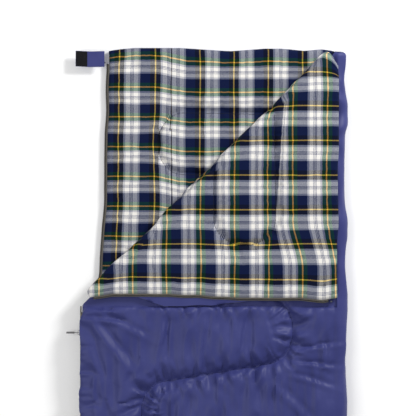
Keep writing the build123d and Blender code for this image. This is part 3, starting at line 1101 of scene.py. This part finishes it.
@dataclass
class TopQuilt:
    """The covering quilt up to its diagonal fold, with the turn over the folded side."""

    look: QuiltLook = QuiltLook(
        seed=11, puff=6 * MM, pucker=4.4 * MM, drape=8.5 * MM, drape_pitch=24 * MM, pucker_reach=130 * MM,
        gather_start=22 * MM, ripple=4.5 * MM, stitch_depth=0.9, stitch_width=9 * MM)
    outer: np.ndarray = field(init=False, repr=False)     # outer sheet and grid, once built
    grid: SheetGrid = field(init=False, repr=False)
    creases: tuple[Crease, ...] = (
        Crease((-0.385, 0.128), (-0.300, 0.118), 6 * MM, 5 * MM),
        Crease((-0.388, 0.100), (-0.275, 0.085), 7 * MM, 4 * MM),
        Crease((-0.380, 0.110), (-0.240, -0.060), 13 * MM, 5 * MM),
        Crease((-0.390, 0.080), (-0.330, -0.120), 12 * MM, 4 * MM),
        Crease((-0.360, 0.120), (-0.200, 0.040), 10 * MM, 4 * MM),
        Crease((0.270, 0.000), (0.410, 0.020), 8 * MM, 2.5 * MM),
        Crease((0.255, -0.040), (0.400, -0.055), 8 * MM, 3 * MM),
        Crease((0.240, -0.075), (0.390, -0.120), 9 * MM, 3 * MM),
        Crease((0.200, -0.100), (0.330, -0.230), 12 * MM, 3.5 * MM),
        Crease((-0.160, -0.120), (-0.185, -0.240), 9 * MM, 4 * MM),
        Crease((-0.060, -0.095), (-0.075, -0.200), 9 * MM, 3 * MM),
        Crease((0.030, -0.085), (0.035, -0.230), 8 * MM, 4 * MM),
        Crease((-0.130, 0.110), (-0.170, -0.040), 10 * MM, 3 * MM),
        Crease((-0.010, 0.110), (-0.030, -0.040), 8 * MM, 3 * MM),
        Crease((0.110, 0.120), (0.090, -0.020), 8 * MM, 3 * MM),
        Crease((0.180, 0.110), (0.200, 0.010), 8 * MM, 2.5 * MM),
    )

    def build(self) -> bpy.types.Object:
        """Build the quilt.

        Returns:
            The finished piece.
        """
        side_end = SIDE_HIGH.y
        end_u = SIDE_X + SIDE_ARC

        def covered(u: float, v: float) -> bool:
            """Say if the cloth covers a point."""
            return v < u + FOLD_OFFSET if u < SIDE_X else v < side_end

        grid = SheetGrid(TOP_STEP, (TOP_LOW.x, end_u), (TOP_LOW.y, TOP_HIGH.y), covered)
        u, v = grid.u, grid.v
        wave = SmoothNoise(21)
        from_zip, from_foot = u - TOP_LOW.x, v - TOP_LOW.y
        from_head = np.where(u > SIDE_X - TOP_STEP, side_end - v, 1.0)
        inside = np.minimum(from_zip, from_foot)
        height = self.look.height(u, v, inside)
        head_round = 0.35 + 0.65 * rounded_edge(np.clip(from_head, 0, 1), 12 * MM)
        height *= np.where(from_head < 12 * MM, head_round, 1)
        for crease in self.creases:
            height += 1.5 * crease.height(u, v) * rounded_edge(inside, 20 * MM)
        under = -HALF_LOFT * rounded_edge(inside, RIM_RADIUS)
        turn = np.clip((u - SIDE_X) / SIDE_ARC, 0, 1) * math.pi
        flat_part = np.minimum(u, SIDE_X)
        start = np.stack([flat_part, v, TOP_MID + height], -1)
        away, _ = QUILTING.nearest(u, v)
        from_fold = (u + FOLD_OFFSET - v) / math.sqrt(2)
        held = (away < 6 * MM) | (inside < RIM_HELD) | (u > SIDE_X - 6 * MM) | (from_fold < 12 * MM)
        start_grid = start.copy()
        start_grid[..., 0] = u
        moved = grid.spread(ClothRelaxer(slack=0.045, lift_cap=8 * MM).relax(start_grid, held))
        calm = np.clip(inside / RIM_HELD, 0, 1) * np.clip(away / (7 * MM), 0, 1)
        calm *= np.clip((SIDE_X - u) / (30 * MM), 0, 1) * np.clip(from_fold / (20 * MM), 0, 1)
        # the part under the flap lies flatter, so that the flap has room
        hidden = np.clip((v - FLAP_LOW.y + 45 * MM) / (40 * MM), 0, 1) * (u < SIDE_X)
        height = np.where(hidden > 0, np.minimum(height, HALF_LOFT + (1 - hidden) * 8 * MM), height)
        lift = height + moved[..., 2] * calm * (1 - hidden)
        lift = np.where(hidden > 0.3, np.minimum(lift, HALF_LOFT), lift)
        # beside the fold the shell rises to the hinge line, so that it closes over the rolled cloth
        beside = smooth_step(1 - from_fold / HINGE_REACH) * (u < SIDE_X) * rounded_edge(inside, RIM_RADIUS)
        lift = lift * (1 - beside) + (FOLD_POINT.z - TOP_MID - HINGE_GAP) * beside
        # the cloth lies smooth where the turn runs down to the floor
        grounded = smooth_step(2 * turn / math.pi - 0.8)
        lift = lift * (1 - grounded) + HALF_LOFT * grounded
        outer = self.place(flat_part, v, turn, lift)
        outer[..., :2] += moved[..., :2] * (calm * (1 - hidden))[..., None]
        inner = self.place(flat_part, v, turn, under)
        edge_wave = 2.5 * MM * wave.at(v / (62 * MM), v * 0)
        # the shell swells out over the closed zip
        swell = 21 * MM * (1 + 0.22 * wave.at(v / (38 * MM) + 4, v * 0))
        swell *= smooth_step((BASE_SWELL_END - v) / 0.05)
        swell *= smooth_step(from_fold / (50 * MM))
        outer[..., 0] -= swell * np.sin(math.pi * np.clip(from_zip / (34 * MM), 0, 1))
        pull = np.clip(1 - from_zip / (90 * MM), 0, 1) * smooth_step(from_fold / (50 * MM))
        for sheet in (outer, inner):
            sheet[..., 0] += edge_wave * pull
            set_back(sheet, np.where(u < SIDE_X - TOP_STEP, from_fold, 1.0))
        side_wave = 2.2 * MM * wave.at(v / (95 * MM) + 9, v * 0) * np.sin(turn)
        outer[..., 0] += side_wave
        flat = np.stack([u, v], -1)
        piece = build_pad("top_quilt", grid, outer, inner, flat, (SHELL.name, LINING.name))
        self.outer, self.grid = outer, grid
        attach(piece, "root")
        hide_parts("top_shell", "top_batting", "top_lining", "side_shell", "side_batting", "side_lining")
        return piece

    @staticmethod
    def place(x: np.ndarray, y: np.ndarray, turn: np.ndarray, height: np.ndarray) -> np.ndarray:
        """Put points on the flat quilt or on the turn over the folded side.

        Args:
            x: position across, at most that of the turn's start.
            y: position along.
            turn: angle round the folded side, from 0.
            height: height over the quilt's middle, outwards.
        Returns:
            Positions.
        """
        radius = SIDE_MID_R + height
        return np.stack([x + radius * np.sin(turn), y, SIDE_MID_Z + radius * np.cos(turn)], -1)


@dataclass
class Flap:
    """The zipped head corner of the covering quilt, folded over with its lining up."""

    look: QuiltLook = QuiltLook(
        seed=17, puff=5 * MM, pucker=1.2 * MM, pucker_pitch=14 * MM, drape=1.8 * MM, ripple=1.6 * MM,
        stitch_depth=1.0, stitch_width=12 * MM)
    edge: np.ndarray = field(init=False, repr=False)      # zipped edge, upper sheet and grid, once built
    upper: np.ndarray = field(init=False, repr=False)
    grid: SheetGrid = field(init=False, repr=False)
    # wavy zip edge: position across, and millimetres that the edge stands towards the head
    zip_wave: tuple[tuple[float, float], ...] = (
        (-0.40, 10), (-0.20, 10), (-0.04, 6), (0.09, -2), (0.28, -2), (0.35, -11), (0.40, -3))
    # the shell hangs out under the zip as a lip: position across, and depth in millimetres
    lip: tuple[tuple[float, float], ...] = (
        (-0.33, 4), (-0.24, 30), (-0.15, 62), (0.0, 50), (0.12, 30), (0.2, 12), (0.4, 4))

    def build(self) -> bpy.types.Object:
        """Build the flap.

        Returns:
            The finished piece.
        """
        low_y, high_x = FLAP_LOW.y, FLAP_HIGH.x
        grid = SheetGrid(FLAP_STEP, (FLAP_LOW.x - 6 * MM, high_x), (low_y, FLAP_HIGH.y + 6 * MM),
                         lambda u, v: v < u + FOLD_OFFSET)
        x, y = grid.u.copy(), grid.v.copy()
        # flat coordinates are those of the closed bag: the fold is a mirror
        flat_u, flat_v = y - FOLD_OFFSET, x + FOLD_OFFSET
        from_zip, from_hem = y - low_y, high_x - x
        inside = np.minimum(from_zip, from_hem)
        height = self.look.height(flat_u, flat_v, inside)
        start = np.stack([x, y, FLAP_MID + height], -1)
        away, _ = QUILTING.nearest(flat_u, flat_v)
        from_fold = (x + FOLD_OFFSET - y) / math.sqrt(2)
        held = (away < 7 * MM) | (inside < RIM_HELD) | (from_fold < 10 * MM)
        moved = grid.spread(ClothRelaxer().relax(start, held))
        calm = np.clip(inside / RIM_HELD, 0, 1) * np.clip(away / (8 * MM), 0, 1)
        calm *= np.clip(from_fold / (16 * MM), 0, 1)
        upper = start + moved * calm[..., None]
        upper[..., 2] = pressed(upper[..., 2], FLAP_HIGH.z - 1 * MM, LINING_SPARE)
        lower = np.stack([x, y, FLAP_MID - HALF_LOFT * rounded_edge(inside, RIM_RADIUS)], -1)
        lip_x, lip_depth = zip(*self.lip)
        bulge = np.interp(x, lip_x, np.array(lip_depth) * MM)
        lower[..., 2] = FLAP_MID - HALF_LOFT * rounded_edge(np.clip(from_zip - 0.33 * bulge, 0, 1), 14 * MM)
        beside = smooth_step(1 - from_fold / HINGE_REACH) * rounded_edge(inside, RIM_RADIUS)
        lower[..., 2] = lower[..., 2] * (1 - beside) + (FOLD_POINT.z + HINGE_GAP) * beside
        lower[..., 2] = np.where(from_hem < 30 * MM, np.maximum(
            lower[..., 2], FLAP_MID - HALF_LOFT * rounded_edge(inside, RIM_RADIUS)), lower[..., 2])
        lower[..., 1] -= bulge * np.sin(math.pi * np.clip(from_zip / (50 * MM), 0, 1)) ** 0.8
        lower[..., 0] += 4 * MM * np.sin(math.pi * np.clip(from_hem / (24 * MM), 0, 1))
        noise = SmoothNoise(29)
        fade = np.clip(from_fold / 0.05, 0, 1)
        wave = self.edge_wave(x, noise) * smooth_step(1 - from_zip / 0.14)
        hem_wave = 3.5 * MM * noise.at(y / (80 * MM) + 9, y * 0) * np.clip(1 - from_hem / 0.12, 0, 1)
        for sheet in (upper, lower):
            sheet[..., 1] += wave * fade
            sheet[..., 0] += hem_wave * fade
            set_back(sheet, from_fold)
            sheet[..., 1] = round_flap_tip(sheet[..., 0], sheet[..., 1])
        flat = FLAP_PANEL.place(y, x)
        take_up_tuck(flat, x, y)
        flat = swallow_at_stitches(flat, away, grid.step)
        piece = build_pad("flap_quilt", grid, upper, lower, flat, (LINING.name, SHELL.name))
        edge_x = np.arange(FLAP_LOW.x + 12 * MM, high_x - 26 * MM, 8 * MM)
        fade = np.clip((edge_x + FOLD_OFFSET - low_y) / math.sqrt(2) / 0.05, 0, 1)
        self.edge = np.stack([edge_x, low_y + self.edge_wave(edge_x, noise) * fade,
                              np.full(len(edge_x), FLAP_MID)], -1)
        self.upper, self.grid = upper, grid
        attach(piece, "flap")
        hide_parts("flap_shell", "flap_batting", "flap_lining")
        return piece

    def edge_wave(self, x: np.ndarray, noise: SmoothNoise) -> np.ndarray:
        """How far the zip edge stands towards the head at each position across."""
        places, sizes = zip(*self.zip_wave)
        return np.interp(x, places, np.array(sizes) * MM) + 1.6 * MM * noise.at(x / (45 * MM), x * 0)


@dataclass
class FoldRoll:
    """The cloth that rolls over the diagonal fold, from the covering quilt round to the flap."""

    arc_steps: int = 26
    inner_radius: float = 2 * MM

    def build(self) -> bpy.types.Object:
        """Build the roll.

        Returns:
            The finished piece.
        """
        outer_radius = FOLD_POINT.z - TOP_UNDER
        begin, finish = FLAP_LOW.x, SIDE_X - 2 * MM
        count = int((finish - begin) / (5 * MM))
        along = np.linspace(begin, finish, count)
        angle = np.linspace(0, math.pi, self.arc_steps)
        run, arc = np.meshgrid(along, angle, indexing="ij")
        noise = SmoothNoise(41)
        away, _ = QUILTING.nearest(run, run + FOLD_OFFSET)
        dip = 0.35 * np.exp(-away / (14 * MM)) * np.sin(arc)
        puff = 1 + 0.26 * noise.at(run / (62 * MM), arc) * np.sin(arc) + 0.07 * noise.at(
            run / (21 * MM) + 7, arc * 2) * np.sin(arc) - dip
        # the roll runs on into the flap's lining at the lining's own height
        inside = np.minimum(run + FOLD_OFFSET - FLAP_LOW.y, FLAP_HIGH.x - run)
        lining = FLAP_MID + Flap.look.height(run, run + FOLD_OFFSET, inside)
        lining = pressed(lining, FLAP_HIGH.z - 1 * MM, LINING_SPARE) - FOLD_POINT.z
        puff += (lining / outer_radius - 1) * smooth_step(arc / math.pi * 2 - 1)
        ends = rounded_edge(np.minimum(run - begin, finish - run), RIM_RADIUS)
        outwards = Vector((-1, 1, 0)).normalized()

        def ring(radius: np.ndarray) -> np.ndarray:
            """Positions at a radius round the fold line."""
            reach = radius * np.sin(arc) - FOLD_BACKSET * np.cos(arc) ** 8
            return np.stack([run + outwards.x * reach, run + FOLD_OFFSET + outwards.y * reach,
                             FOLD_POINT.z - radius * np.cos(arc)], -1)

        middle = (outer_radius + self.inner_radius) / 2
        outer = ring(middle + (outer_radius * puff - middle) * ends)
        inner = ring(middle + (self.inner_radius - middle) * ends)
        back = outer_radius * (math.pi - arc) / math.sqrt(2)
        flat = FLAP_PANEL.place(run + FOLD_OFFSET + back, run - back)
        take_up_tuck(flat, run, run + FOLD_OFFSET)
        for sheet in (outer, inner):
            sheet[..., 1] = round_flap_tip(sheet[..., 0], sheet[..., 1])
        piece = build_pad("fold_roll", RollGrid(*run.shape), outer, inner, flat, (LINING.name, SHELL.name))
        bring_outwards(piece)
        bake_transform(piece)
        return piece


def bring_outwards(piece: bpy.types.Object) -> None:
    """Recalculate a closed piece's normals so that its faces point outwards.

    Args:
        piece: closed piece, changed in place.
    """
    shape = bmesh.new()
    shape.from_mesh(piece.data)
    bmesh.ops.recalc_face_normals(shape, faces=shape.faces)
    shape.to_mesh(piece.data)
    shape.free()


@dataclass
class Zip:
    """Tapes and coils of the zip, open at the head and closed down the side and across the foot."""

    beads: PathRepeater
    tape_thickness: float = 0.8 * MM
    tooth_pitch: float = 3.0 * MM   # real teeth are 1.5 mm apart, drawn coarser so that they show

    def open_run(self, name: str, edge: np.ndarray, outwards: tuple[float, float], body: str,
                 nodes: tuple[str, str]) -> None:
        """Build one open tape and its coil along a quilt's edge.

        Args:
            name: start of the pieces' names.
            edge: points of the quilt's edge.
            outwards: direction away from the quilt.
            body: body that they ride on.
            nodes: CAD nodes of the tape and the coil.
        """
        away = np.array([*outwards, 0.0])
        inner = edge - away * 4 * MM + np.array([0, 0, 3 * MM])
        outer = edge + away * TAPE_WIDTH * 0.7 + np.array([0, 0, 1 * MM])
        tape = build_ribbon(name + "_tape", inner, outer, self.tape_thickness, TAPE.name)
        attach(tape, body)
        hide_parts(nodes[0])
        ridge = outer * 0.75 + inner * 0.25 + np.array([0, 0, 1 * MM])
        coil = self.beads.run(name + "_coil", [ridge], self.tooth_pitch, (2.2 * MM, 4.0 * MM, 2.8 * MM),
                              COIL.name)
        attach(coil, body)
        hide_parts(nodes[1])
        LOG.info("built %s and its coil", name)

    def closed_run(self, name: str, nodes: tuple[str, str]) -> None:
        """Build the meshed coils of a closed stretch.

        Args:
            name: piece's name.
            nodes: the two coils' CAD nodes.
        """
        (low, high), (_, top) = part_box(nodes[0]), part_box(nodes[1])
        middle = (low + high) / 2
        level = (low.z + top.z) / 2
        lengthwise = high.y - low.y > high.x - low.x
        ends = (low.y, high.y) if lengthwise else (low.x, high.x)
        paths = []
        for side in (-1, 1):
            run = np.arange(ends[0] + (side + 1) * 0.75 * MM, ends[1], 10 * MM)
            z = np.full_like(run, level + side * 1.1 * MM)
            across = np.full_like(run, middle.x if lengthwise else middle.y)
            paths.append(np.stack([across, run, z] if lengthwise else [run, across, z], -1))
        coil = self.beads.run(name, paths, self.tooth_pitch, (1.9 * MM, 3.4 * MM, 3.2 * MM), COIL.name)
        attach(coil, "root")
        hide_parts(*nodes)
        LOG.info("built %s", name)

    def build(self, base_edge: np.ndarray, flap_edge: np.ndarray) -> None:
        """Build every stretch.

        Args:
            base_edge: points along the base quilt's zipped edge.
            flap_edge: points along the flap's zipped edge.
        """
        tape_low, tape_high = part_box("base_zip_tape_head")
        open_part = base_edge[(base_edge[:, 1] > tape_low.y - 55 * MM) & (base_edge[:, 1] < tape_high.y)]
        self.open_run("head_zip", open_part, (-1.0, 0.0), "root", ("base_zip_tape_head", "base_zip_coil_head"))
        self.open_run("flap_zip", flap_edge, (0.0, -1.0), "flap", ("flap_zip_tape", "flap_zip_coil"))
        self.closed_run("side_zip_coil", ("base_zip_coil_side", "top_zip_coil_side"))
        self.closed_run("foot_zip_coil", ("base_zip_coil_foot", "top_zip_coil_foot"))


@dataclass
class ClosureTab:
    """Strap at the head corner with a hook patch at its free end."""

    droop: float = 3 * MM
    lean: float = 1.5 * MM
    stations: int = 26              # points along each layer

    def strip(self, name: str, node: str, finish: str) -> bpy.types.Object:
        """Make one layer of the tab, bent as the strap lies.

        Args:
            name: piece's name.
            node: CAD node that gives its size.
            finish: material's name.
        Returns:
            The new object.
        """
        low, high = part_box(node)
        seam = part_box("tab_strap")[1].x
        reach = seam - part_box("tab_strap")[0].x
        xs = np.linspace(low.x, high.x, self.stations)
        bend = self.droop * np.sin(math.pi * np.clip((seam - xs) / reach, 0, 1)) ** 2
        drop = ((seam - xs) / reach) * self.lean
        z = high.z - bend * 0.2
        inner = np.stack([xs, np.full_like(xs, low.y) + drop - bend * 0.5, z], -1)
        outer = np.stack([xs, np.full_like(xs, high.y) + drop - bend * 0.5, z + 0.2 * MM], -1)
        piece = build_ribbon(name, inner, outer, high.z - low.z, finish, lanes=10)
        bevel = piece.modifiers.new("soft_edges", "BEVEL")
        bevel.width = 0.5 * MM
        bevel.segments = 2
        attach(piece, "tab")
        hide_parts(node)
        LOG.info("built %s", name)
        return piece

    def build(self) -> None:
        """Build the strap and its hook patch."""
        strap = self.strip("tab_band", "tab_strap", SHELL.name)
        patch = self.strip("tab_hooks", "tab_hook_patch", HOOKS.name)


@dataclass
class Hardware:
    """CAD parts whose shape is right and which only need their finish."""

    finishes: dict[str, Finish] = field(default_factory=lambda: {
        "slider_body": ZINC, "slider_bridge": ZINC, "pull_frame": ZINC, "pull_grip": GRIP,
        "base_zip_stop": ZINC, "flap_zip_stop": ZINC, "foot_zip_stop": ZINC, "flap_loop_patch": LOOPS,
        "base_zip_tape_side": TAPE, "top_zip_tape_side": TAPE, "base_zip_tape_foot": TAPE,
        "top_zip_tape_foot": TAPE,
    })

    def dress(self) -> None:
        """Give each CAD part its finish."""
        for node, finish in self.finishes.items():
            slots = frame["nodes"][node].data.materials
            slots.clear()
            slots.append(bpy.data.materials[finish.name])
            LOG.info("dressed %s", node)


@dataclass
class QuiltStitches:
    """Thread along the quilting line, lying on the finished sheets."""

    pitch: float = 4.5 * MM

    @staticmethod
    def on_sheet(line: np.ndarray, flat_u: np.ndarray, flat_v: np.ndarray, sheet: np.ndarray,
                 step: float) -> list[np.ndarray]:
        """Carry a line in flat coordinates onto a sheet.

        Args:
            line: points in flat coordinates.
            flat_u: the sheet's flat coordinates across, one per column.
            flat_v: the sheet's flat coordinates along, one per row.
            sheet: rows by columns by 3 positions.
            step: grid spacing.
        Returns:
            Stretches of the line that lie on the sheet.
        """
        runs: list[np.ndarray] = []
        current: list[np.ndarray] = []
        for u, v in line:
            c, r = (u - flat_u[0]) / step, (v - flat_v[0]) / step
            ci, ri = int(c), int(r)
            if 1 <= ci < sheet.shape[1] - 2 and 1 <= ri < sheet.shape[0] - 2:
                fc, fr = c - ci, r - ri
                low = sheet[ri, ci] * (1 - fc) + sheet[ri, ci + 1] * fc
                high = sheet[ri + 1, ci] * (1 - fc) + sheet[ri + 1, ci + 1] * fc
                current.append(low * (1 - fr) + high * fr)
            elif current:
                runs.append(np.array(current))
                current = []
        if current:
            runs.append(np.array(current))
        return [run for run in runs if len(run) > 2]

    def build(self, beads: PathRepeater, base: BaseQuilt, top: TopQuilt, flap: Flap) -> None:
        """Sew the quilting thread on the base lining, the top shell and the flap's lining.

        Args:
            beads: tool that repeats stitches.
            base: finished base quilt.
            top: finished top quilt.
            flap: finished flap.
        """
        line = QUILTING.line
        below_fold = (line[:, 1] < line[:, 0] + FOLD_OFFSET - 5 * MM) & (line[:, 0] < SIDE_X - 4 * MM)
        above_fold = line[:, 1] > line[:, 0] + FOLD_OFFSET + 5 * MM
        # at rest the flap's cloth lies mirrored about the fold
        folded = np.stack([line[:, 1] - FOLD_OFFSET, line[:, 0] + FOLD_OFFSET], -1)[above_fold]
        # on the linings the beads are drawn wider, so that the near-black thread also paints the stitch crease's
        # shadow
        fine, coarse = (3.4 * MM, 1.5 * MM, 1.2 * MM), (4.2 * MM, 2.4 * MM, 1.4 * MM)
        sewn = (
            ("base_quilting", base.grid, base.upper, line, LINING_THREAD_AND_CREASE_SHADE, "lining_tartan", "root", coarse),
            ("top_quilting", top.grid, top.outer, line[below_fold], THREAD, "shell_satin", "root", fine),
            ("flap_quilting", flap.grid, flap.upper, folded, LINING_THREAD_AND_CREASE_SHADE, "lining_tartan", "flap", coarse),
        )
        for name, grid, sheet, stretch, finish, slot_name, body, size in sewn:
            jumps = np.where(np.linalg.norm(np.diff(stretch, axis=0), axis=1) > 40 * MM)[0] + 1
            paths: list[np.ndarray] = []
            for part in np.split(stretch, jumps):
                paths += self.on_sheet(part, grid.u[0], grid.v[:, 0], sheet, grid.step)
            piece = beads.run(name, paths, self.pitch, size, finish.name)
            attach(piece, body)
            LOG.info("sewed %s", name)


@dataclass
class Studio:
    """Pale floor, soft light and the camera straight above."""

    centre: tuple[float, float] = (-0.014, 0.443)
    span: float = 1.331             # width of floor that the camera sees
    distance: float = 7.0
    floor_half: float = 6.0
    floor_drop: float = 0.6 * MM    # keeps the floor clear of the cloth that lies on it
    air: float = 0.50               # strength of the white light from all round

    def light(self, name: str, place: tuple[float, float, float], size: float, power: float) -> None:
        """Add one square soft light that looks at the bag.

        Args:
            name: light's name.
            place: its position.
            size: its side.
            power: its power in watts.
        """
        data = bpy.data.lights.new(name, "AREA")
        data.shape = "SQUARE"
        data.size = size
        data.energy = power
        lamp = put_in_scene(name, data)
        lamp.location = place
        aim = Vector((self.centre[0], self.centre[1], 0)) - Vector(place)
        lamp.rotation_euler = aim.to_track_quat("-Z", "Y").to_euler()

    def build(self) -> None:
        """Set the stage."""
        half = self.floor_half
        mesh = bpy.data.meshes.new("floor")
        corners = [(-half, -half), (half, -half), (half, half), (-half, half)]
        mesh.from_pydata([(x, y, -self.floor_drop) for x, y in corners], [], [(0, 1, 2, 3)])
        floor = put_in_scene("floor", mesh)
        paper = GrainedFinish("matt_paper", "#fdfdfd", 0.9, second="#fbfbfb", pitch_mm=60.0, depth_mm=0.01)
        mesh.materials.append(paper.make())
        self.light("key", (2.3, 2.6, 1.9), 0.8, 118.0)
        self.light("fill", (-2.0, 0.2, 3.0), 2.0, 42.0)
        world = bpy.data.worlds.new("studio_air")
        world.use_nodes = True
        sky = world.node_tree.nodes["Background"]
        sky.inputs[0].default_value = (1.0, 1.0, 1.0, 1.0)
        sky.inputs[1].default_value = self.air
        bpy.context.scene.world = world
        bpy.context.scene.view_settings.view_transform = "Standard"
        data = bpy.data.cameras.new("camera")
        data.sensor_width = 36.0
        data.lens = data.sensor_width * self.distance / self.span
        data.clip_end = 50.0
        camera = put_in_scene("camera", data)
        camera.location = (*self.centre, self.distance)
        bpy.context.scene.camera = camera


def main() -> None:
    """Build the studio and every piece in order."""
    logging.basicConfig(level=logging.INFO)
    Studio().build()
    for finish in (SHELL, LINING, TAPE, COIL, ZINC, GRIP, HOOKS, LOOPS, THREAD, LINING_THREAD_AND_CREASE_SHADE):
        finish.make()
    beads = PathRepeater()
    base, top, flap = BaseQuilt(), TopQuilt(), Flap()
    for quilt in (base, top, flap, FoldRoll()):
        piece = quilt.build()
        LOG.info("built %s with %d faces", piece.name, len(piece.data.polygons))
    Zip(beads).build(base.edge, flap.edge)
    ClosureTab().build()
    Hardware().dress()
    QuiltStitches().build(beads, base, top, flap)


if __name__ == "__main__":
    main()
